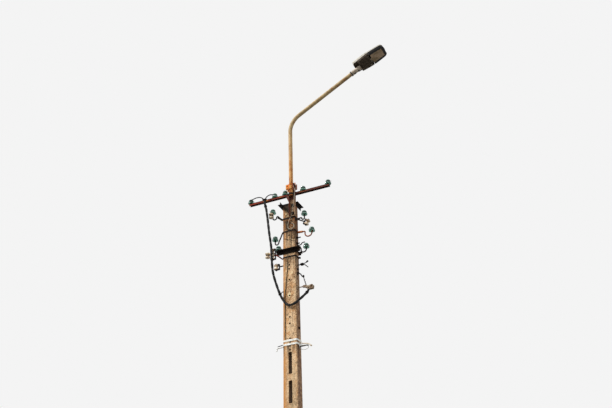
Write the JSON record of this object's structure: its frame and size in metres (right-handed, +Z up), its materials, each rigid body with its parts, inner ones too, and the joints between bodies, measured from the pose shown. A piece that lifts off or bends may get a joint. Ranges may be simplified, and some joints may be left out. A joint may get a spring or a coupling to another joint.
{
  "type": "reinforced concrete utility pole with lamp arm and crossarm",
  "caption": "Tapered slotted concrete utility pole with a bent tube lamp arm, hinged lamp bowl, steel crossarm, green glass insulators on pins and hooks, and a cable loop.",
  "frame": {"origin": "centre of the pole's base, at ground level", "axes": "+Z up along the pole, +X along the crossarm towards the street lamp, -Y out of the wide slotted face seen in the picture"},
  "size_m": [2.3362, 0.4335, 10.7858],
  "materials": {
    "concrete": "weathered cast concrete, stained brown",
    "red_oxide_steel": "worn red oxide paint with rust",
    "green_glass": "pale green pressed glass",
    "cream_tube": "old cream paint with rust streaks",
    "rusty_iron": "bright orange rust",
    "lamp_housing": "dusty cream enamel",
    "dark_cover": "dark grey-brown moulding",
    "reflector": "satin anodised",
    "bulb_glass": "white coated lamp glass",
    "smoked_bowl": "dusty brown-grey clear bowl",
    "white_coat": "white coated strip",
    "porcelain": "cream glaze",
    "black_sheath": "matt black insulation",
    "dark_iron": "dark rusted iron"
  },
  "bodies": {
    "pole": {"concrete_pole": "concrete", "crossarm": "red_oxide_steel", "head_post": "red_oxide_steel", "post_gusset": "red_oxide_steel", "post_clamps": "dark_iron", "side_bar_left": "dark_iron", "side_bar_right": "dark_iron", "head_ties": "dark_iron", "line_pins": "dark_iron", "line_insulator_1": "green_glass", "line_insulator_2": "green_glass", "line_insulator_3": "green_glass", "line_insulator_4": "green_glass", "line_insulator_5": "green_glass", "lamp_arm": "cream_tube", "arm_collar": "rusty_iron", "lamp_sleeve": "lamp_housing", "lamp_canopy": "lamp_housing", "gear_cover": "dark_cover", "lamp_reflector": "reflector", "lamp_bulb": "bulb_glass", "hinge_pin": "dark_iron", "hook_bands": "dark_iron", "white_bands": "white_coat", "clamp_bar_front": "dark_iron", "clamp_bar_back": "dark_iron", "clamp_bolts": "dark_iron", "hook_upper_left": "dark_iron", "hook_upper_right": "dark_iron", "hook_middle_left": "dark_iron", "hook_middle_right": "dark_iron", "hook_lower_right": "dark_iron", "clamp_bar_pin": "dark_iron", "hook_insulators_left": "green_glass", "hook_insulators_right": "green_glass", "spool_irons": "dark_iron", "spools_left": "porcelain", "spool_right": "porcelain", "strain_hook": "dark_iron", "strain_clamp": "dark_iron", "white_hook_right": "white_coat", "white_arm_left": "white_coat", "cable_loop": "black_sheath", "cable_cores": "black_sheath"},
    "bowl": {"lamp_bowl": "smoked_bowl"}
  },
  "joints": [
    {"name": "bowl_hinge", "type": "hinge", "parent": "pole", "child": "bowl", "pos_m": [1.43747, -0.09296, 10.6333], "axis": [0, 1, 0], "range_deg": [0, 80]}
  ]
}
